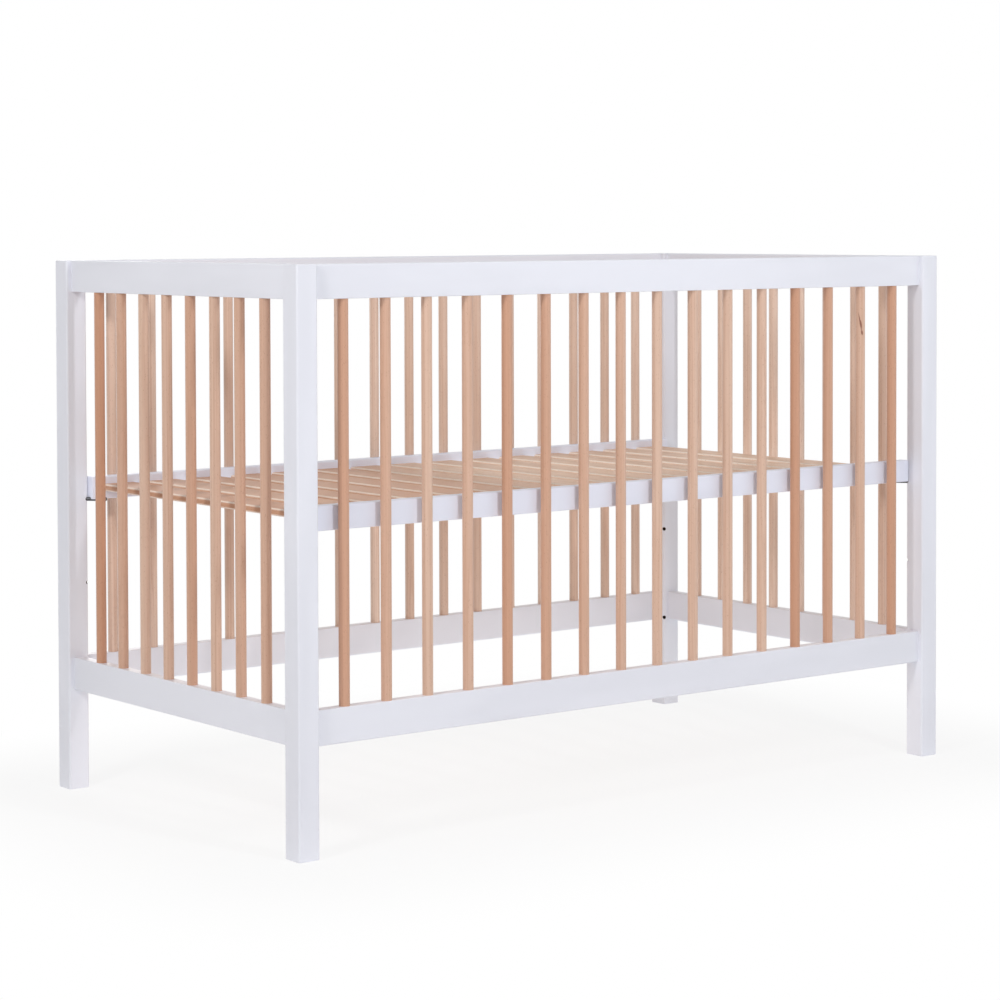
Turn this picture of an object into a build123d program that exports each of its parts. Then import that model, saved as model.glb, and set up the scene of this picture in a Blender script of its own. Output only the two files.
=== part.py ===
"""Baby crib with white lacquered posts and rails, round beech bars and a slatted beech base.

Millimetres. X runs along the crib, with the left end at -X. Y runs across it, with the front at -Y.
Z is up, and the origin is on the floor under the middle of the crib.
"""

import os
from math import pi, sqrt

from build123d import *

# Whole crib
crib_length = 1260
crib_width = 660
crib_height = 815

# Corner posts
post_side = 35
post_edge_chamfer = 3

# Rails, centred on the posts
rail_thickness = 18
top_rail_height = 48
bottom_rail_height = 50
bottom_rail_z = 154
rail_outer_chamfer = 2
rail_bar_side_chamfer = 1

# Stub tenons that hold the rails in the posts, two of which meet inside each post
rail_tenon_thickness = 9
rail_tenon_shoulder = 8
rail_tenon_meeting_gap = 2

# Round bars, drawn with narrow flats, with square tenons so that they can't turn
bar_diameter = 15.5
bar_flat_width = 1.52
bar_tenon_side = 9
bar_tenon_length = 14
long_bar_count = 16
long_bar_end_gap = 45.75
short_bar_count = 8
short_bar_end_gap = 61.15

# Slatted base
base_end_gap = 2
base_side_gap = 2.5
base_rail_thickness = 18
base_rail_height = 35
base_rail_chamfer = 2
slat_width = 56
slat_thickness = 11
slat_count = 15
slat_end_gap = 19
slat_edge_chamfer = 2
slat_top_drop = 12
slat_tenon_length = 10
slat_tenon_side_shoulder = 4
slat_tenon_face_shoulder = 2

# Steel pins that carry the base, set at 45 degrees in the posts' inner edges
pin_diameter = 6
pin_reach = 30
pin_seat = 28
low_pin_height = 158
middle_pin_height = 318
top_pin_height = 447

# Fits
glue_clearance = 0.1
tenon_end_room = 0.8
pin_hole_clearance = 0.05
pin_groove_clearance = 0.3

post_x = (crib_length - post_side) / 2
post_y = (crib_width - post_side) / 2
long_span = crib_length - 2 * post_side
short_span = crib_width - 2 * post_side
top_rail_z = crib_height - top_rail_height
bar_bottom_z = bottom_rail_z + bottom_rail_height
bar_clear_length = top_rail_z - bar_bottom_z
rail_tenon_length = (post_side - rail_tenon_thickness) / 2 - rail_tenon_meeting_gap
base_z = top_pin_height
base_length = long_span - 2 * base_end_gap
base_rail_y = post_y - rail_thickness / 2 - base_side_gap - base_rail_thickness / 2
slat_clear_length = 2 * base_rail_y - base_rail_thickness
slat_z = base_z + base_rail_height - slat_top_drop - slat_thickness
slat_tenon_width = slat_width - 2 * slat_tenon_side_shoulder
slat_tenon_thickness = slat_thickness - 2 * slat_tenon_face_shoulder

standing = (Align.CENTER, Align.CENTER, Align.MIN)
hanging = (Align.CENTER, Align.CENTER, Align.MAX)
rail_levels = ((bottom_rail_z, bottom_rail_height), (top_rail_z, top_rail_height))
pin_heights = (low_pin_height, middle_pin_height, top_pin_height)
corners = {
    "front_left": (-1, -1),
    "front_right": (1, -1),
    "rear_left": (-1, 1),
    "rear_right": (1, 1),
}


def spread(span, width, count, end_gap):
    """Places of this many copies, evenly spaced between the span's two end gaps and centred on 0."""
    steps = count - 1
    pitch = (span - 2 * end_gap - width) / steps
    return [(i - steps / 2) * pitch for i in range(count)]


slat_places = spread(base_length, slat_width, slat_count, slat_end_gap)


def pin_plane(side_x, side_y, height):
    """A plane at the free tip of a support pin, facing along the pin into its post."""
    inset = pin_reach / sqrt(2)
    tip_x = side_x * (crib_length / 2 - post_side - inset)
    tip_y = side_y * (crib_width / 2 - post_side - inset)
    return Plane(origin=(tip_x, tip_y, height), z_dir=(side_x, side_y, 0))


def support_pin(side_x, side_y):
    """A plain steel pin, seated in its post with the free end under the base rail."""
    pin = Cylinder(pin_diameter / 2, pin_reach + pin_seat, align=standing)
    return pin_plane(side_x, side_y, base_z) * pin


def post(side_x, side_y):
    """A square post with eased edges, four rail mortises and a row of pin holes in its inner edge."""
    body = Box(post_side, post_side, crib_height, align=standing)
    body = chamfer(body.edges().filter_by(Axis.Z), post_edge_chamfer)
    body = Pos(side_x * post_x, side_y * post_y, 0) * body

    depth = rail_tenon_length + tenon_end_room
    width = rail_tenon_thickness + 2 * glue_clearance
    mortise_x = side_x * (crib_length / 2 - post_side + depth / 2)
    mortise_y = side_y * (crib_width / 2 - post_side + depth / 2)
    for rail_z, rail_height in rail_levels:
        height = rail_height - 2 * rail_tenon_shoulder + 2 * glue_clearance
        middle_z = rail_z + rail_height / 2
        body -= Pos(mortise_x, side_y * post_y, middle_z) * Box(depth, width, height)
        body -= Pos(side_x * post_x, mortise_y, middle_z) * Box(width, depth, height)

    hole_radius = pin_diameter / 2 + pin_hole_clearance
    hole = Cylinder(hole_radius, pin_reach + pin_seat + tenon_end_room, align=standing)
    for height in pin_heights:
        body -= pin_plane(side_x, side_y, height) * hole
    return body


def rail(span, height, bar_places, bars_below):
    """A rail along X with a stub tenon at each end and a mortise for every bar, standing on Z = 0."""
    body = Box(span, rail_thickness, height, align=standing)
    lower_chamfer = rail_bar_side_chamfer if bars_below else rail_outer_chamfer
    upper_chamfer = rail_outer_chamfer if bars_below else rail_bar_side_chamfer
    body = chamfer(body.edges().filter_by(Axis.X).group_by(Axis.Z)[0], lower_chamfer)
    body = chamfer(body.edges().filter_by(Axis.X).group_by(Axis.Z)[-1], upper_chamfer)

    tenon_height = height - 2 * rail_tenon_shoulder
    tenon = Box(span + 2 * rail_tenon_length, rail_tenon_thickness, tenon_height)
    body += Pos(0, 0, height / 2) * tenon

    side = bar_tenon_side + 2 * glue_clearance
    mortise_align = standing if bars_below else hanging
    mortise = Box(side, side, bar_tenon_length + tenon_end_room, align=mortise_align)
    mouth_z = 0 if bars_below else height
    for place in bar_places:
        body -= Pos(place, 0, mouth_z) * mortise
    return body


def bar():
    """A round bar with a square tenon at both ends, its lower shoulder on the bottom rail."""
    flats = round(pi * bar_diameter / bar_flat_width)
    shaft = extrude(RegularPolygon(bar_diameter / 2, flats), bar_clear_length)
    tenons = Box(bar_tenon_side, bar_tenon_side, bar_clear_length + 2 * bar_tenon_length)
    return Pos(0, 0, bar_bottom_z) * (shaft + Pos(0, 0, bar_clear_length / 2) * tenons)


def base_rail(side_y):
    """A side rail of the base, with a mortise for every slat and a groove over each support pin."""
    body = Box(base_length, base_rail_thickness, base_rail_height, align=standing)
    body = chamfer(body.edges().group_by(Axis.Z)[-1], base_rail_chamfer)
    body = Pos(0, side_y * base_rail_y, base_z) * body

    depth = slat_tenon_length + tenon_end_room
    mortise = Box(
        slat_tenon_width + 2 * glue_clearance,
        depth,
        slat_tenon_thickness + 2 * glue_clearance,
    )
    mortise_y = side_y * (slat_clear_length + depth) / 2
    for place in slat_places:
        body -= Pos(place, mortise_y, slat_z + slat_thickness / 2) * mortise

    groove_radius = pin_diameter / 2 + pin_groove_clearance
    groove = Cylinder(groove_radius, pin_reach + pin_seat, align=standing)
    for side_x in (-1, 1):
        body -= pin_plane(side_x, side_y, base_z) * groove
    return body


def slat():
    """A beech slat across the base, with eased edges and a shouldered tenon at both ends."""
    body = Box(slat_width, slat_clear_length, slat_thickness)
    body = chamfer(body.edges().filter_by(Axis.Y), slat_edge_chamfer)
    tenon_span = slat_clear_length + 2 * slat_tenon_length
    body += Box(slat_tenon_width, tenon_span, slat_tenon_thickness)
    return Pos(0, 0, slat_z + slat_thickness / 2) * body


def all_nodes():
    """Every node of the crib by name."""
    nodes = {}
    for name, (side_x, side_y) in corners.items():
        nodes["post_" + name] = post(side_x, side_y)
        nodes["support_pin_" + name] = support_pin(side_x, side_y)

    long_places = spread(long_span, bar_diameter, long_bar_count, long_bar_end_gap)
    short_places = spread(short_span, bar_diameter, short_bar_count, short_bar_end_gap)
    sides = {
        "front": (Pos(0, -post_y, 0), long_span, long_places),
        "rear": (Pos(0, post_y, 0), long_span, long_places),
        "left": (Pos(-post_x, 0, 0) * Rot(0, 0, 90), short_span, short_places),
        "right": (Pos(post_x, 0, 0) * Rot(0, 0, 90), short_span, short_places),
    }
    for name, (place, span, bar_places) in sides.items():
        top = rail(span, top_rail_height, bar_places, bars_below=True)
        bottom = rail(span, bottom_rail_height, bar_places, bars_below=False)
        nodes["top_rail_" + name] = place * Pos(0, 0, top_rail_z) * top
        nodes["bottom_rail_" + name] = place * Pos(0, 0, bottom_rail_z) * bottom
        nodes["bars_" + name] = Compound([place * Pos(x, 0, 0) * bar() for x in bar_places])

    nodes["base_rail_front"] = base_rail(-1)
    nodes["base_rail_rear"] = base_rail(1)
    for i, place in enumerate(slat_places, start=1):
        nodes[f"slat_{i:02d}"] = Pos(place, 0, 0) * slat()
    return nodes


os.makedirs("parts", exist_ok=True)
for node, shape in all_nodes().items():
    export_step(shape, f"parts/{node}.step")
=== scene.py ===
# %% [markdown]
# # Dressing a baby crib
# The crib stands on four square posts. White lacquered rails join the posts, rows of round beech bars
# fill the four sides, and a slatted beech base hangs on steel pins between them. The solid model already
# fixes every size and place. This lesson keeps those sizes and gives each piece rounded edges and a finish.
# Everything is in metres: X runs along the crib, the front is at -Y and Z is up.

# %% Open the solid model
from math import cos, radians, sin, sqrt

import bmesh
import bpy
from mathutils import Matrix, Vector


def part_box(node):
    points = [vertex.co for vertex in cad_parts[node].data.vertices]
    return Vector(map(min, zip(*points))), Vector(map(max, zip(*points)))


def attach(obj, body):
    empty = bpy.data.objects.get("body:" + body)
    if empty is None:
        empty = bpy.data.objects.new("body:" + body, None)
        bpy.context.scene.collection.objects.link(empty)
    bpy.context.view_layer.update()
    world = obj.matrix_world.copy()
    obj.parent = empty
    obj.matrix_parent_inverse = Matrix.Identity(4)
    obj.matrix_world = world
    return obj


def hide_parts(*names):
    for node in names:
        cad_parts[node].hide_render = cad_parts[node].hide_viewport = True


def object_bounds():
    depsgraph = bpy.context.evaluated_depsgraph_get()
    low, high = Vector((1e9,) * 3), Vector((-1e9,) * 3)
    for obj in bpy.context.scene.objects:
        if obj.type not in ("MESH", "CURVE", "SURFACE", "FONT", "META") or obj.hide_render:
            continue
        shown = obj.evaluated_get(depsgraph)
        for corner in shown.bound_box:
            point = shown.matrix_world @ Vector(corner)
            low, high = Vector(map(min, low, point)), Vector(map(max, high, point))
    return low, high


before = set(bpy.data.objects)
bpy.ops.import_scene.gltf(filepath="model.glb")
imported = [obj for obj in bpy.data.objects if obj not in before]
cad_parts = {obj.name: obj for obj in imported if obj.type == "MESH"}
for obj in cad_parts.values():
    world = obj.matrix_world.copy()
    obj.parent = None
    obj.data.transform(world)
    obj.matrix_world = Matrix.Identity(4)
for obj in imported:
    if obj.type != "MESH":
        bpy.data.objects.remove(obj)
solid_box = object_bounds()
bpy.context.scene.view_settings.view_transform = "Standard"
print("solid model:", len(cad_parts), "nodes,", [round(v, 3) for v in solid_box[1] - solid_box[0]], "m")

# %% [markdown]
# ## Writing nodes as sums
# Materials and node trees could be wired one link at a time, which hides the idea behind them. A small
# class around a socket lets Python's own + - * stand for Math nodes, so a pattern reads like its formula.
# Every other node comes from one method: its type, its settings, then the values or links of its sockets.


# %% A socket that can be added and multiplied
class Wire:
    """One socket of a node tree. Arithmetic on it adds Math nodes, and node() adds any other node."""

    def __init__(self, tree, socket=None):
        self.tree = tree
        self.socket = socket

    def node(self, kind, settings=None, sockets=None, out=0):
        made = self.tree.nodes.new(kind)
        for name, value in (settings or {}).items():
            setattr(made, name, value)
        for name, value in (sockets or {}).items():
            if isinstance(value, Wire):
                self.tree.links.new(value.socket, made.inputs[name])
            else:
                made.inputs[name].default_value = value
        return Wire(self.tree, made.outputs[out] if made.outputs else None)

    def math(self, operation, first, second=0.0):
        return self.node("ShaderNodeMath", {"operation": operation}, {0: first, 1: second})

    def __add__(self, other):
        return self.math("ADD", self, other)

    def __sub__(self, other):
        return self.math("SUBTRACT", self, other)

    def __mul__(self, other):
        return self.math("MULTIPLY", self, other)

    def __radd__(self, other):
        return self.math("ADD", other, self)

    def __rsub__(self, other):
        return self.math("SUBTRACT", other, self)

    def __rmul__(self, other):
        return self.math("MULTIPLY", other, self)


print("operators ready:", [name for name in vars(Wire) if name.startswith("__r")])

# %% [markdown]
# ## Patterns shared by the finishes
# Wood and sprayed paint are built from a few patterns: noise, noise drawn out along the grain, a smooth
# step and a blend of two colours. Object coordinates are used throughout. Every finished piece sits at the
# origin, so they are simply places on the crib in metres, and a scale of 1000 means one cell a millimetre.

# %% Pattern helpers
plain_detail, fine_detail = 2.0, 3.0


def shade(red, green, blue):
    """A colour picked as 0 to 255 display values, as the linear colour that shaders work in."""
    linear = []
    for part in (red / 255, green / 255, blue / 255):
        linear.append(part / 12.92 if part <= 0.04045 else ((part + 0.055) / 1.055) ** 2.4)
    return (*linear, 1.0)


def new_finish(name):
    """An empty material, and a wire to start its nodes from."""
    material = bpy.data.materials.new(name)
    material.use_nodes = True
    material.node_tree.nodes.clear()
    return material, Wire(material.node_tree)


def noise(place, scale, detail=plain_detail):
    """Soft random values around 0.5."""
    return place.node("ShaderNodeTexNoise", sockets={"Vector": place, "Scale": scale, "Detail": detail})


def drawn_out(place, axis, across, along):
    """Coordinates in which a pattern is stretched along one axis: cells a metre across it and along it."""
    scale = [across] * 3
    scale[axis] = along
    return place.node("ShaderNodeMapping", sockets={"Vector": place, "Scale": scale})


def rise(value, start, end):
    """0 below the start, 1 above the end and a smooth step between."""
    return value.node(
        "ShaderNodeMapRange",
        {"interpolation_type": "SMOOTHSTEP"},
        {"Value": value, "From Min": start, "From Max": end},
    )


def blend(mask, low, high):
    """One colour where the mask is 0 and another where it is 1."""
    return mask.node("ShaderNodeMix", {"data_type": "RGBA"}, {0: mask, 6: low, 7: high}, out=2)


def coat(start, sockets):
    """The surface shader of a finish, wired to the material's output."""
    surface = start.node("ShaderNodeBsdfPrincipled", sockets=sockets)
    start.node("ShaderNodeOutputMaterial", sockets={"Surface": surface})


print("white reads as", [round(v, 3) for v in shade(255, 255, 255)])

# %% [markdown]
# ## White lacquer
# Posts and rails are sprayed with a cool white satin lacquer. A flat white would look like plastic, so the
# paint gets a fine sprayed ripple, the beech grain that still shows faintly through it, and a slow drift of
# tone. The grain follows the length of each board, so there is one lacquer for each of the three directions.
# The rails of the base get a brighter, cooler copy of the white. That is painted light: it lifts the shade
# of the bars in front of them and cancels the warm light that the wood throws onto them.

# %% Mix the lacquer
lacquer_light = shade(236, 237, 245)
lacquer_soft = shade(231, 232, 240)
# Painted light: a brighter, cooler white for the rails of the base.
base_lit_pale = shade(238, 241, 254)
base_lit_soft = shade(233, 236, 249)
ripple_scale = 520.0
pore_scales = {"across": 900.0, "along": 18.0}
drift_scales = {"across": 14.0, "along": 3.0}
drift_range = (0.35, 0.65)
ripple_share, pore_share = 0.45, 0.55
lacquer_bump = {"Strength": 0.10, "Distance": 0.0004}
lacquer_roughness, pore_roughness = 0.30, 0.16


def lacquer(name, along, soft, light):
    material, start = new_finish(name)
    place = start.node("ShaderNodeTexCoord", out="Object")
    ripple = noise(place, ripple_scale)
    pores = noise(drawn_out(place, along, **pore_scales), 1.0, fine_detail)
    drift = noise(drawn_out(place, along, **drift_scales), 1.0)
    height = ripple * ripple_share + pores * pore_share
    relief = start.node("ShaderNodeBump", sockets={**lacquer_bump, "Height": height})
    coat(
        start,
        {
            "Base Color": blend(rise(drift, *drift_range), soft, light),
            "Roughness": lacquer_roughness + pore_roughness * pores,
            "Normal": relief,
        },
    )
    return material


lacquers = [
    lacquer("white_lacquer_" + axis, along, lacquer_soft, lacquer_light) for along, axis in enumerate("xyz")
]
base_lit_lacquer = lacquer("white_lacquer_base_lit", 0, base_lit_soft, base_lit_pale)
print("lacquers:", [material.name for material in (*lacquers, base_lit_lacquer)])

# %% [markdown]
# ## Beech
# Bars are beech under a thin clear coat, and the slats are bare. Beech is pale and pinkish, with straight
# grain, growth lines a few millimetres apart and short brown flecks. An image of wood would repeat and
# stretch, so the grain is worked out from the place on the stick. Each stick comes from another board: its
# tone and the way its growth lines lie are stored on it as two values, tone and turn. A third value, edge,
# marks the rounded edges of the slats, where a painted highlight makes the wood paler. One bar at the front
# has a small dark knot.

# %% Mix the beech
# Painted light: the palest colour brightens the bar rows at the rear and at the right.
far_bar_lit_pale = shade(241, 216, 198)
bar_pale = shade(223, 191, 170)
bar_warm = shade(202, 148, 117)
slat_pale = shade(244, 213, 188)
slat_warm = shade(208, 162, 134)
beech_line = shade(186, 137, 109)
# A painted highlight: the rounded slat edges are blended towards this near white.
painted_edge_highlight = shade(255, 243, 230)
beech_fleck = shade(150, 101, 74)
beech_knot = shade(118, 52, 24)
growth_line_gap = 0.0034
full_turn = 6.2832
wander_scales = {"across": 30.0, "along": 2.5}
wander_depth = 0.012
line_range = (0.2, 1.0)
streak_scales = {"across": 240.0, "along": 2.2}
streak_range = (0.42, 0.72)
fibre_scales = {"across": 2600.0, "along": 36.0}
fleck_scales = {"across": 760.0, "along": 150.0}
fleck_size = (0.10, 0.24)
fleck_chance = (0.55, 0.60)
line_share, streak_share, fibre_share = 0.16, 0.26, 0.12
edge_highlight_share, fleck_share, knot_share = 0.9, 0.55, 0.85
beech_bump = {"Strength": 0.18, "Distance": 0.0003}
fibre_height, fleck_depth = 0.7, 0.3
beech_roughness, fibre_roughness = 0.34, 0.16
coat_shine, wood_shine, coat_roughness = 0.25, 0.5, 0.2
coated, bare = 1.0, 0.1
knot_tilt = (0.0, -0.164, -0.6467)
knot_rim = (0.45, 1.0)
knot_parts = (
    ((0.4645, -0.3186, 0.7075), (0.0022, 0.004, 0.0100)),
    ((0.4661, -0.3198, 0.6937), (0.0021, 0.004, 0.0052)),
    ((0.4638, -0.3181, 0.7090), (0.0011, 0.004, 0.0220)),
)


def knot(place):
    """1 inside the slanted stem of a small branch, which is a few long egg shapes set end to end."""
    inside = 0.0
    for middle, half_sizes in knot_parts:
        near = place.node(
            "ShaderNodeMapping",
            {"vector_type": "TEXTURE"},
            {"Vector": place, "Location": middle, "Rotation": knot_tilt, "Scale": half_sizes},
        )
        depth = near.node("ShaderNodeVectorMath", {"operation": "LENGTH"}, {0: near}, out="Value")
        inside = place.math("MAXIMUM", 1 - rise(depth, *knot_rim), inside)
    return inside


def stored(start, name):
    """A value that was stored on the mesh."""
    return start.node("ShaderNodeAttribute", {"attribute_name": name}, out="Fac")


def beech(name, along, pale, warm, shine):
    material, start = new_finish(name)
    place = start.node("ShaderNodeTexCoord", out="Object")
    turn = stored(start, "turn")
    across = [axis for axis in range(3) if axis != along]
    sides = [start.node("ShaderNodeSeparateXYZ", sockets={0: place}, out=axis) for axis in across]

    wander = noise(drawn_out(place, along, **wander_scales), 1.0) * wander_depth
    depth = sides[0] * start.math("COSINE", turn) + sides[1] * start.math("SINE", turn) + wander
    growth = start.math("SINE", depth * (full_turn / growth_line_gap))
    lines = rise(growth, *line_range)
    streak_noise = noise(drawn_out(place, along, **streak_scales), 1.0, fine_detail)
    streaks = rise(streak_noise, *streak_range)
    fibres = noise(drawn_out(place, along, **fibre_scales), 1.0)

    cells = drawn_out(place, along, **fleck_scales)
    distance = start.node("ShaderNodeTexVoronoi", sockets={"Vector": cells, "Scale": 1.0}, out="Distance")
    draw = start.node("ShaderNodeTexVoronoi", sockets={"Vector": cells, "Scale": 1.0}, out="Color")
    chance = start.node("ShaderNodeSeparateColor", sockets={0: draw})
    flecks = (1 - rise(distance, *fleck_size)) * rise(chance, *fleck_chance)

    colour = blend(stored(start, "tone"), pale, warm)
    colour = blend(lines * line_share + streaks * streak_share + fibres * fibre_share, colour, beech_line)
    # Painted highlight on the rounded edges of the slats.
    colour = blend(stored(start, "edge") * edge_highlight_share, colour, painted_edge_highlight)
    colour = blend(flecks * fleck_share, colour, beech_fleck)
    colour = blend(knot(place) * knot_share, colour, beech_knot)
    height = fibres * fibre_height - flecks * fleck_depth
    relief = start.node("ShaderNodeBump", sockets={**beech_bump, "Height": height})
    coat(
        start,
        {
            "Base Color": colour,
            "Roughness": beech_roughness + fibre_roughness * fibres,
            "Normal": relief,
            "Specular IOR Level": wood_shine * shine,
            "Coat Weight": coat_shine * shine,
            "Coat Roughness": coat_roughness,
        },
    )
    return material


upright_beech = beech("clear_beech_upright", 2, bar_pale, bar_warm, coated)
# A paler copy of the bar wood, which holds painted light for the rear and right rows.
far_rows_lit_beech = beech("clear_beech_far_lit", 2, far_bar_lit_pale, bar_pale, coated)
across_beech = beech("bare_beech_across", 1, slat_pale, slat_warm, bare)
print("beech:", upright_beech.name, far_rows_lit_beech.name, across_beech.name)

# %% [markdown]
# ## Dark steel and bored wood
# The pins are dark plated steel, which is a metal with a rough, slightly cloudy surface. A hole bored into a
# post shows raw beech, rougher than the coated wood, with fibres torn by the drill. Its colour is painted far
# darker than raw beech: painted shade for the depth of the narrow hole.

# %% Mix the steel and the bored wood
steel_dark = shade(74, 74, 78)
steel_light = shade(104, 103, 106)
# Painted shade: both bore colours are far darker than raw beech.
bore_shaded_dark = shade(92, 68, 52)
bore_shaded_light = shade(128, 98, 76)
cloud_scale = 340.0
cloud_range = (0.35, 0.65)
steel_bump = {"Strength": 0.06, "Distance": 0.0002}
steel_roughness, cloud_roughness = 0.34, 0.2
torn_scale = 1400.0
bore_roughness, torn_roughness = 0.7, 0.2


def plated_steel():
    material, start = new_finish("plated_dark_steel")
    place = start.node("ShaderNodeTexCoord", out="Object")
    cloud = noise(place, cloud_scale, fine_detail)
    relief = start.node("ShaderNodeBump", sockets={**steel_bump, "Height": cloud})
    coat(
        start,
        {
            "Base Color": blend(rise(cloud, *cloud_range), steel_dark, steel_light),
            "Metallic": 1.0,
            "Roughness": steel_roughness + cloud_roughness * cloud,
            "Normal": relief,
        },
    )
    return material


# The bore walls carry painted shade in their colour.
def shaded_bored_wood():
    material, start = new_finish("bored_beech_shaded")
    place = start.node("ShaderNodeTexCoord", out="Object")
    torn = noise(place, torn_scale, fine_detail)
    coat(
        start,
        {
            "Base Color": blend(torn, bore_shaded_dark, bore_shaded_light),
            "Roughness": bore_roughness + torn_roughness * torn,
        },
    )
    return material


steel = plated_steel()
bore = shaded_bored_wood()
print("also:", steel.name, bore.name)

# %% [markdown]
# ## Boards with soft edges
# A post or a rail is a box, but no painted board has knife edges: a rounded edge catches a thin line of
# light that tells the eye how big the board is. Bevelling the long edges first and the ends afterwards gives
# each its own radius. Weighted normals then keep the wide faces flat up to the start of the rounding.

# %% Board helpers
round_steps = 5
end_steps = 3
crease_angle = radians(38)
end_facing = 0.99


def settle(piece):
    """Turn a piece with modifiers into a plain mesh."""
    ready = piece.evaluated_get(bpy.context.evaluated_depsgraph_get())
    piece.data = bpy.data.meshes.new_from_object(ready)
    piece.modifiers.clear()


def flatten_faces(piece):
    """Shade roundings smoothly and wide faces flat."""
    for face in piece.data.polygons:
        face.use_smooth = True
    piece.data.set_sharp_from_angle(angle=crease_angle)
    weighted = piece.modifiers.new("weighted", "WEIGHTED_NORMAL")
    weighted.keep_sharp = True
    settle(piece)


def show(name, mesh):
    piece = bpy.data.objects.new(name, mesh)
    bpy.context.scene.collection.objects.link(piece)
    return piece


def board(name, low, high, along, rounds, end_round, material):
    """A board between two corners. rounds gives a long edge's radius from the place of its middle."""
    shape = bmesh.new()
    bmesh.ops.create_cube(shape, size=1.0)
    bmesh.ops.scale(shape, vec=high - low, verts=shape.verts)
    bmesh.ops.translate(shape, vec=(low + high) / 2, verts=shape.verts)

    by_radius = {}
    for edge in shape.edges:
        start, end = (vert.co for vert in edge.verts)
        if abs((end - start)[along]) > 0:
            by_radius.setdefault(rounds((start + end) / 2), []).append(edge)
    for radius, edges in by_radius.items():
        bmesh.ops.bevel(
            shape, geom=edges, offset=radius, segments=round_steps, profile=0.5, affect="EDGES"
        )
    shape.normal_update()
    caps = [face for face in shape.faces if abs(face.normal[along]) > end_facing]
    rims = {edge for face in caps for edge in face.edges}
    bmesh.ops.bevel(
        shape, geom=list(rims), offset=end_round, segments=end_steps, profile=0.5, affect="EDGES"
    )
    mesh = bpy.data.meshes.new(name)
    shape.to_mesh(mesh)
    shape.free()
    mesh.materials.append(material)
    return show(name, mesh)


print("a rounded edge has", round_steps, "steps")

# %% [markdown]
# ## Posts
# Each post is square with eased edges, and its inner edge is bored with three pin holes, one above another.
# The holes could be dark discs, but a real bore shows its depth when the view moves. A Boolean cuts them
# with three cylinders, and the cutter's own material stays on the walls of the bore.

# %% Make the four posts
post_edge_round = 0.0034
post_end_round = 0.0014
hole_slack = 0.00005
hole_depth = 0.0288
hole_run_out = 0.012
empty_hole_heights = (0.158, 0.318)
hole_steps = 28
corners = {
    "front_left": (-1, -1),
    "front_right": (1, -1),
    "rear_left": (-1, 1),
    "rear_right": (1, 1),
}


def pin_size():
    """Radius, length and height of the support pins, which lie level at 45 degrees."""
    low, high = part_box("support_pin_front_left")
    diameter = high.z - low.z
    return diameter / 2, (high.x - low.x) * sqrt(2) - diameter, (low.z + high.z) / 2


def inner_edge(low, high, side_x, side_y):
    """The corner of a post that faces the middle of the crib, seen from above."""
    return Vector((low.x if side_x > 0 else high.x, low.y if side_y > 0 else high.y, 0))


def hole_cutter(low, high, side_x, side_y, radius, heights):
    """Cylinders lying along the diagonal of a post, from outside its inner edge to the end of the hole."""
    shape = bmesh.new()
    inwards = Vector((side_x, side_y, 0)).normalized()
    middle = inner_edge(low, high, side_x, side_y) + inwards * (hole_depth - hole_run_out) / 2
    turn = inwards.to_track_quat("Z", "Y").to_matrix().to_4x4()
    for height in heights:
        bmesh.ops.create_cone(
            shape,
            cap_ends=True,
            segments=hole_steps,
            radius1=radius,
            radius2=radius,
            depth=hole_depth + hole_run_out,
            matrix=Matrix.Translation(middle + Vector((0, 0, height))) @ turn,
        )
    mesh = bpy.data.meshes.new("hole_cutter")
    shape.to_mesh(mesh)
    shape.free()
    mesh.materials.append(bore)
    return show("hole_cutter", mesh)


pin_radius, pin_length, pin_height = pin_size()
for name, (side_x, side_y) in corners.items():
    low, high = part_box("post_" + name)
    post = board(
        "lacquered_post_" + name, low, high, 2, lambda at: post_edge_round, post_end_round, lacquers[2]
    )
    heights = (*empty_hole_heights, pin_height)
    cutter = hole_cutter(low, high, side_x, side_y, pin_radius + hole_slack, heights)
    bored = post.modifiers.new("bored", "BOOLEAN")
    bored.operation = "DIFFERENCE"
    bored.solver = "EXACT"
    bored.material_mode = "TRANSFER"
    bored.object = cutter
    settle(post)
    bpy.data.objects.remove(cutter)
    flatten_faces(post)
    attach(post, "crib_frame")
    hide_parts("post_" + name)
    print(post.name, len(post.data.polygons), "faces,", [m.name for m in post.data.materials])

# %% [markdown]
# ## Rails
# Eight rails join the posts, a top and a bottom one on each side. Their free edges are well rounded for
# small hands, and the edges that the bars meet are only eased, so that a bar stands on a flat face. Each rail
# runs from post to post with its end edges just broken, which leaves the fine line of a real joint.

# %% Make the eight rails
rail_free_round = 0.0024
rail_bar_round = 0.0009
rail_end_round = 0.0003
side_runs = {"front": 0, "rear": 0, "left": 1, "right": 1}
inside_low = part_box("post_front_left")[1]
inside_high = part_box("post_rear_right")[0]


def between_posts(node, along):
    """A node's box, cut to the space between the posts."""
    low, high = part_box(node)
    low[along] = inside_low[along]
    high[along] = inside_high[along]
    return low, high


for side, along in side_runs.items():
    for level in ("top", "bottom"):
        low, high = between_posts(f"{level}_rail_{side}", along)
        middle_z = (low.z + high.z) / 2
        free_is_up = level == "top"
        rail = board(
            f"lacquered_{level}_rail_{side}",
            low,
            high,
            along,
            lambda at: rail_free_round if (at.z > middle_z) == free_is_up else rail_bar_round,
            rail_end_round,
            lacquers[along],
        )
        flatten_faces(rail)
        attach(rail, "crib_frame")
        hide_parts(f"{level}_rail_{side}")
        print(rail.name, [round(v, 4) for v in high - low])

# %% [markdown]
# ## Growing rows with Geometry Nodes
# Bars and slats repeat at an even step, so a node tree grows each row: a line of points, one copy on every
# point, and random values stored on each copy. A loop in Python could copy meshes too, but the tree keeps the
# rule in one place, and its inputs are sizes with names. The result is realized and kept as a plain mesh.


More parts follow.
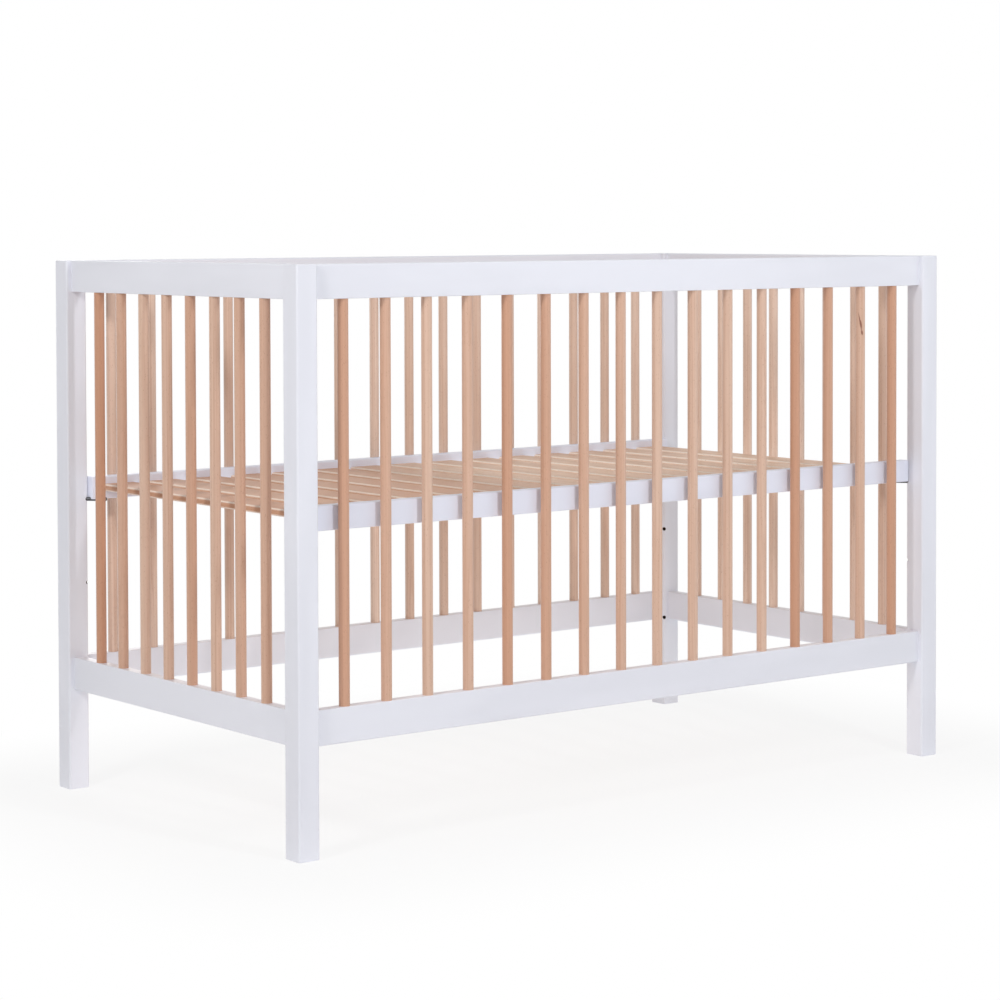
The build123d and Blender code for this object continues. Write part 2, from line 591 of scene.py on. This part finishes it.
# %% Node tree helpers
def new_tree(name, inputs):
    """A geometry node tree with named inputs, and a wire for each of them."""
    tree = bpy.data.node_groups.new(name, "GeometryNodeTree")
    tree.interface.new_socket("Geometry", in_out="OUTPUT", socket_type="NodeSocketGeometry")
    for label, kind in inputs.items():
        tree.interface.new_socket(label, in_out="INPUT", socket_type="NodeSocket" + kind)
    start = Wire(tree)
    source = tree.nodes.new("NodeGroupInput")
    return tree, start, {label: Wire(tree, source.outputs[label]) for label in inputs}


def stored_random(row, label, most, seed):
    """A random value from 0 to most, kept on every copy of a row."""
    value = row.node("FunctionNodeRandomValue", sockets={3: most, 8: seed}, out=1)
    return row.node(
        "GeometryNodeStoreNamedAttribute",
        {"data_type": "FLOAT", "domain": "INSTANCE"},
        {"Geometry": row, "Name": label, "Value": value},
    )


def end_tree(row, material):
    """Make the copies real, give them their material and hand them to the tree's output."""
    real = row.node("GeometryNodeRealizeInstances", sockets={"Geometry": row})
    dressed = row.node("GeometryNodeSetMaterial", sockets={"Geometry": real, "Material": material})
    row.node("NodeGroupOutput", sockets={"Geometry": dressed})


def grow(name, tree, values):
    """Run a tree with these input values and keep its result as a plain mesh."""
    piece = show(name, bpy.data.meshes.new(name))
    growth = piece.modifiers.new("growth", "NODES")
    growth.node_group = tree
    for item in tree.interface.items_tree:
        if item.in_out == "INPUT":
            growth[item.identifier] = values[item.name]
    settle(piece)
    flatten_faces(piece)
    return piece


row_inputs = {
    "Count": "Int",
    "First": "Vector",
    "Step": "Vector",
    "Length": "Float",
    "Seed": "Int",
    "Material": "Material",
}
print("every row takes", list(row_inputs))

# %% [markdown]
# ## Bars
# Forty-eight round bars stand between the rails, sixteen in each long side and eight in each end. A cylinder
# is the whole shape of a bar, so its looks come from fine steps round it and from the wood. The rows at the
# rear and at the right get a paler copy of the wood: painted light, as if more light reached them. Each bar
# runs a millimetre into both rails, as its tenon does, so no light shows under it.

# %% Make the four rows of bars
bar_steps = 48
bar_sink = 0.001
bar_counts = {"front": 16, "rear": 16, "left": 8, "right": 8}
bar_seeds = {"front": 246448, "rear": 11, "left": 372547, "right": 37}
# The rear and right rows take the copy of the wood with painted light.
bar_woods = {"front": upright_beech, "rear": far_rows_lit_beech, "left": upright_beech, "right": far_rows_lit_beech}


def bar_tree():
    tree, start, size = new_tree("bar_row", {**row_inputs, "Radius": "Float"})
    line = start.node(
        "GeometryNodeMeshLine",
        sockets={"Count": size["Count"], "Start Location": size["First"], "Offset": size["Step"]},
    )
    stick = start.node(
        "GeometryNodeMeshCylinder",
        sockets={"Vertices": bar_steps, "Radius": size["Radius"], "Depth": size["Length"]},
    )
    row = start.node("GeometryNodeInstanceOnPoints", sockets={"Points": line, "Instance": stick})
    row = stored_random(row, "tone", 1.0, size["Seed"])
    row = stored_random(row, "turn", full_turn, size["Seed"] + 1)
    end_tree(row, size["Material"])
    return tree


bars_rule = bar_tree()
for side, along in side_runs.items():
    low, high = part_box("bars_" + side)
    low.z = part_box("bottom_rail_" + side)[1].z - bar_sink
    high.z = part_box("top_rail_" + side)[0].z + bar_sink
    diameter = (high - low)[1 - along]
    first = (low + high) / 2
    first[along] = low[along] + diameter / 2
    step = Vector()
    step[along] = (high[along] - low[along] - diameter) / (bar_counts[side] - 1)
    bars = grow(
        "beech_bars_" + side,
        bars_rule,
        {
            "Count": bar_counts[side],
            "First": first,
            "Step": step,
            "Length": high.z - low.z,
            "Seed": bar_seeds[side],
            "Material": bar_woods[side],
            "Radius": diameter / 2,
        },
    )
    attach(bars, "crib_frame")
    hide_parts("bars_" + side)
    print(bars.name, "step", round(step[along], 4), "tone" in bars.data.attributes)

# %% [markdown]
# ## Slatted base
# The base is a frame of its own: two white side rails and fifteen beech slats between them. It rests on the
# pins and lifts out, so its pieces ride on the slatted_base body. A slat could be a bevelled box, but here
# its profile is a rectangle with filleted corners, swept along a line. Each point then keeps how far round
# the fillet it lies, as the value edge, and a painted highlight makes the wood paler there.

# %% Make the slats
slat_edge_round = 0.003
slat_round_steps = 5
slat_sink = 0.001
slat_seed = 941795
slat_nodes = sorted(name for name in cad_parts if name.startswith("slat_"))


def edge_highlight_mask(start, size):
    """0 on the flat faces of a slat and 1 halfway round its long edges."""
    place = start.node("GeometryNodeInputPosition")
    past = []
    for axis, whole in ((0, size["Width"]), (2, size["Thickness"])):
        side = start.math("ABSOLUTE", start.node("ShaderNodeSeparateXYZ", sockets={0: place}, out=axis))
        past.append(start.math("MAXIMUM", side - whole * 0.5 + slat_edge_round, 0.0))
    return past[0] * past[1] * (2 / slat_edge_round**2)


def slat_tree():
    tree, start, size = new_tree("slat_row", {**row_inputs, "Width": "Float", "Thickness": "Float"})
    line = start.node(
        "GeometryNodeMeshLine",
        sockets={"Count": size["Count"], "Start Location": size["First"], "Offset": size["Step"]},
    )
    section = start.node(
        "GeometryNodeCurvePrimitiveQuadrilateral",
        sockets={"Width": size["Width"], "Height": size["Thickness"]},
    )
    section = start.node(
        "GeometryNodeFilletCurve",
        {"mode": "POLY"},
        {"Curve": section, "Count": slat_round_steps, "Radius": slat_edge_round},
    )
    reach = size["Length"] * 0.5
    ends = [
        start.node("ShaderNodeCombineXYZ", sockets={"Y": half}) for half in (reach * -1.0, reach)
    ]
    run = start.node("GeometryNodeCurvePrimitiveLine", sockets={"Start": ends[0], "End": ends[1]})
    stick = start.node(
        "GeometryNodeCurveToMesh",
        sockets={"Curve": run, "Profile Curve": section, "Fill Caps": True},
    )
    # The value edge says where the painted highlight lies on each slat.
    stick = start.node(
        "GeometryNodeStoreNamedAttribute",
        {"data_type": "FLOAT", "domain": "POINT"},
        {"Geometry": stick, "Name": "edge", "Value": edge_highlight_mask(start, size)},
    )
    row = start.node("GeometryNodeInstanceOnPoints", sockets={"Points": line, "Instance": stick})
    row = stored_random(row, "tone", 1.0, size["Seed"])
    row = stored_random(row, "turn", full_turn, size["Seed"] + 1)
    end_tree(row, size["Material"])
    return tree


first_low, first_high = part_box(slat_nodes[0])
last_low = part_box(slat_nodes[-1])[0]
first_low.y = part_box("base_rail_front")[1].y - slat_sink
first_high.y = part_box("base_rail_rear")[0].y + slat_sink
slats = grow(
    "beech_slats",
    slat_tree(),
    {
        "Count": len(slat_nodes),
        "First": (first_low + first_high) / 2,
        "Step": Vector(((last_low.x - first_low.x) / (len(slat_nodes) - 1), 0, 0)),
        "Length": first_high.y - first_low.y,
        "Seed": slat_seed,
        "Material": across_beech,
        "Width": first_high.x - first_low.x,
        "Thickness": first_high.z - first_low.z,
    },
)
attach(slats, "slatted_base")
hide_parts(*slat_nodes)
print(slats.name, [round(v, 4) for v in slats.dimensions])

# %% [markdown]
# ## Base rails
# The two side rails of the base are lacquered like the crib, in the brighter, cooler white that holds painted
# light. Under each end a half-round groove drops over a pin, which keeps the base from sliding. The groove is
# cut with a cylinder in the pin's own place.

# %% Make the base rails
base_rail_top_round = 0.0022
base_rail_foot_round = 0.0014
base_rail_end_round = 0.0009
groove_slack = 0.0003
groove_steps = 28


def groove_cutter(side_y):
    """Two cylinders where the pins lie under one base rail."""
    shape = bmesh.new()
    for name, (corner_x, corner_y) in corners.items():
        if corner_y == side_y:
            low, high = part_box("support_pin_" + name)
            turn = Vector((corner_x, corner_y, 0)).to_track_quat("Z", "Y").to_matrix().to_4x4()
            bmesh.ops.create_cone(
                shape,
                cap_ends=True,
                segments=groove_steps,
                radius1=pin_radius + groove_slack,
                radius2=pin_radius + groove_slack,
                depth=pin_length + 2 * groove_slack,
                matrix=Matrix.Translation((low + high) / 2) @ turn,
            )
    mesh = bpy.data.meshes.new("groove_cutter")
    shape.to_mesh(mesh)
    shape.free()
    mesh.materials.append(base_lit_lacquer)
    return show("groove_cutter", mesh)


for side, side_y in (("front", -1), ("rear", 1)):
    low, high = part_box("base_rail_" + side)
    middle_z = (low.z + high.z) / 2
    base_rail = board(
        "lacquered_base_rail_" + side,
        low,
        high,
        0,
        lambda at: base_rail_top_round if at.z > middle_z else base_rail_foot_round,
        base_rail_end_round,
        base_lit_lacquer,
    )
    cutter = groove_cutter(side_y)
    grooved = base_rail.modifiers.new("grooved", "BOOLEAN")
    grooved.operation = "DIFFERENCE"
    grooved.solver = "EXACT"
    grooved.object = cutter
    settle(base_rail)
    bpy.data.objects.remove(cutter)
    flatten_faces(base_rail)
    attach(base_rail, "slatted_base")
    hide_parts("base_rail_" + side)
    print(base_rail.name, len(base_rail.data.polygons), "faces")

# %% [markdown]
# ## Support pins
# Four steel pins carry the base, one in the inner edge of each post. Four points of a grid mark their places,
# and each copy is turned to look out along its own corner's diagonal, which is the sign of the point's place.
# A short taper at the free end, drawn by the sweep's scale, helps the pin into its hole.

# %% Make the pins
pin_steps = 28
pin_taper = 0.0012
pin_tip_scale = 0.72
pin_points = 60


def pin_tree():
    inputs = {"Span X": "Float", "Span Y": "Float", "Height": "Float", "Radius": "Float", "Length": "Float"}
    tree, start, size = new_tree("pin_set", {**inputs, "Material": "Material"})
    spots = start.node(
        "GeometryNodeMeshGrid",
        sockets={"Size X": size["Span X"], "Size Y": size["Span Y"], "Vertices X": 2, "Vertices Y": 2},
    )
    outwards = start.node(
        "ShaderNodeVectorMath", {"operation": "SIGN"}, {0: start.node("GeometryNodeInputPosition")}
    )
    turn = start.node("FunctionNodeAlignRotationToVector", {"axis": "Z"}, {"Vector": outwards})
    reach = size["Length"] * 0.5
    ends = [
        start.node("ShaderNodeCombineXYZ", sockets={"Z": half}) for half in (reach * -1.0, reach)
    ]
    run = start.node("GeometryNodeCurvePrimitiveLine", sockets={"Start": ends[0], "End": ends[1]})
    run = start.node("GeometryNodeResampleCurve", sockets={"Curve": run, "Count": pin_points})
    along = start.node("GeometryNodeSplineParameter", out="Length")
    taper = start.node(
        "ShaderNodeMapRange",
        sockets={"Value": along, "From Max": pin_taper, "To Min": pin_tip_scale, "To Max": 1.0},
    )
    section = start.node(
        "GeometryNodeCurvePrimitiveCircle", sockets={"Resolution": pin_steps, "Radius": size["Radius"]}
    )
    pin = start.node(
        "GeometryNodeCurveToMesh",
        sockets={"Curve": run, "Profile Curve": section, "Scale": taper, "Fill Caps": True},
    )
    row = start.node(
        "GeometryNodeInstanceOnPoints", sockets={"Points": spots, "Instance": pin, "Rotation": turn}
    )
    lift = start.node("ShaderNodeCombineXYZ", sockets={"Z": size["Height"]})
    row = start.node("GeometryNodeTransform", sockets={"Geometry": row, "Translation": lift})
    end_tree(row, size["Material"])
    return tree


pin_middles = {name: sum(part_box("support_pin_" + name), Vector()) / 2 for name in corners}
pins = grow(
    "steel_pins",
    pin_tree(),
    {
        "Span X": pin_middles["front_right"].x - pin_middles["front_left"].x,
        "Span Y": pin_middles["rear_left"].y - pin_middles["front_left"].y,
        "Height": pin_height,
        "Radius": pin_radius,
        "Length": pin_length,
        "Material": steel,
    },
)
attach(pins, "crib_frame")
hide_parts(*("support_pin_" + name for name in corners))
print(pins.name, [round(v, 4) for v in pins.dimensions])

# %% [markdown]
# ## Floor and backdrop
# The crib stands on endless white paper. A lit white floor would turn grey towards the horizon, so what the
# camera sees of it is mostly glow, with a share of real shading near the crib that keeps the soft shadow.
# Lamps and bounced light meet an ordinary matt floor. Under the crib they meet a steady glow instead, which
# stands for the light that bright paper throws up at the rails.

# %% Lay the floor
floor_half = 30.0
floor_colour = (0.85, 0.85, 0.85, 1.0)
shadow_share = 0.16
shadow_reach = 0.45
under_light = 1.12
under_soft = 0.12


def seen_directly(start):
    """1 for what the camera sees, directly or in a reflection, and 0 for light on its way round."""
    rays = [
        start.node("ShaderNodeLightPath", out=name)
        for name in ("Is Camera Ray", "Is Glossy Ray", "Is Transmission Ray")
    ]
    return start.math("MINIMUM", rays[0] + rays[1] + rays[2], 1.0)


def floor_paper():
    material, start = new_finish("floor_paper")
    place = start.node("ShaderNodeTexCoord", out="Object")
    across = [start.node("ShaderNodeSeparateXYZ", sockets={0: place}, out=axis) for axis in (0, 1)]
    outside = [start.math("ABSOLUTE", value) - half for value, half in zip(across, solid_box[1])]
    near = [1 - rise(value, 0.0, shadow_reach) for value in outside]
    shadow = shadow_share * near[0] * near[1]
    under = [1 - rise(value, -under_soft, under_soft) for value in outside]
    matt = start.node("ShaderNodeBsdfDiffuse", sockets={"Color": floor_colour})
    bounce = start.node("ShaderNodeEmission", sockets={"Strength": under_light})
    lit = start.node("ShaderNodeMixShader", sockets={0: under[0] * under[1], 1: matt, 2: bounce})
    glow = start.node("ShaderNodeEmission")
    paper = start.node("ShaderNodeMixShader", sockets={0: 1 - shadow, 1: matt, 2: glow})
    both = start.node("ShaderNodeMixShader", sockets={0: seen_directly(start), 1: lit, 2: paper})
    start.node("ShaderNodeOutputMaterial", sockets={"Surface": both})
    return material


floor_mesh = bpy.data.meshes.new("floor")
floor_corners = [(-floor_half, -floor_half, 0), (floor_half, -floor_half, 0)]
floor_corners += [(floor_half, floor_half, 0), (-floor_half, floor_half, 0)]
floor_mesh.from_pydata(floor_corners, [], [(0, 1, 2, 3)])
floor_mesh.materials.append(floor_paper())
floor = show("floor", floor_mesh)
print("floor", floor.dimensions.x, "m wide")

# %% [markdown]
# ## Light
# The light is that of a white studio. The world gives an even part from every side: plain white where it is
# seen or reflected, and a softer grey where it lights. Five lamps add the rest. The small ones in front and
# at the left are the key lamps, and they draw the narrow shadows beside the bars. The large soft ones at the
# right, at the rear and beside the camera fill in, so that no side goes dark.

# %% Light the studio
world_light = 0.46
cool_white = (0.95, 0.967, 1.0)
clear_white = (0.98, 0.985, 1.0)
warm_white = (1.0, 0.988, 0.98)
lamp_plan = {
    "lamp_front": ((-0.1, -2.7, 1.9), (0.0, -0.2, 0.5), (0.15, 0.8), 22.5, cool_white),
    "lamp_left": ((-2.7, -0.96, 2.03), (-0.5, 0.0, 0.5), (0.4, 0.4), 26.5, warm_white),
    "lamp_right": ((2.6, -2.6, 1.3), (0.3, -0.2, 0.5), (2.0, 2.0), 12.0, cool_white),
    "lamp_rear": ((0.5, 3.0, 1.1), (0.0, 0.3, 0.5), (1.2, 1.2), 11.0, clear_white),
    "lamp_camera": ((-2.7, -3.6, 1.1), (0.0, 0.0, 0.5), (1.6, 1.6), 4.0, clear_white),
}


def studio_world():
    world = bpy.data.worlds.new("studio")
    world.use_nodes = True
    world.node_tree.nodes.clear()
    start = Wire(world.node_tree)
    even = start.node("ShaderNodeBackground", sockets={"Color": (1, 1, 1, 1), "Strength": world_light})
    white = start.node("ShaderNodeBackground", sockets={"Color": (1, 1, 1, 1), "Strength": 1.0})
    both = start.node("ShaderNodeMixShader", sockets={0: seen_directly(start), 1: even, 2: white})
    start.node("ShaderNodeOutputWorld", sockets={"Surface": both})
    return world


def soft_lamp(name, place, aim, size, watts, colour):
    light = bpy.data.lights.new(name, "AREA")
    light.shape = "RECTANGLE"
    light.size, light.size_y = size
    light.energy = watts
    light.color = colour
    lamp = bpy.data.objects.new(name, light)
    bpy.context.scene.collection.objects.link(lamp)
    lamp.location = place
    lamp.rotation_euler = (Vector(aim) - Vector(place)).to_track_quat("-Z", "Y").to_euler()
    lamp.visible_camera = False
    return lamp


bpy.context.scene.world = studio_world()
lamps = [soft_lamp(name, *plan) for name, plan in lamp_plan.items()]
print("lamps:", {lamp.name: lamp.data.energy for lamp in lamps})

# %% [markdown]
# ## Camera
# The picture is taken from the front left, a little above the top rail, with a long lens. The view was
# levelled and then cropped, so the lens is shifted instead of tilted: that keeps the posts nearly upright.

# %% Set up the camera
eye = Vector((-2.73608, -3.41863, 0.86771))
heading, dip, lean = 0.6467, 0.0309, -0.0035
lens_mm, sensor_mm = 99.52, 36.0
shift_right, shift_up = 0.07, -0.18967

forward = Vector((sin(heading) * cos(dip), cos(heading) * cos(dip), -sin(dip)))
level = Vector((cos(heading), -sin(heading), 0.0))
upright = level.cross(forward)
right = level * cos(lean) + upright * sin(lean)
up = upright * cos(lean) - level * sin(lean)

lens = bpy.data.cameras.new("camera")
lens.lens = lens_mm
lens.sensor_width = sensor_mm
lens.shift_x = shift_right
lens.shift_y = shift_up
camera = bpy.data.objects.new("camera", lens)
bpy.context.scene.collection.objects.link(camera)
camera.matrix_world = Matrix.Translation(eye) @ Matrix((right, up, -forward)).transposed().to_4x4()
bpy.context.scene.camera = camera
print("camera at", [round(v, 2) for v in eye], "m")

# %% [markdown]
# ## Sizes
# The dressed crib has to keep the solid model's size.
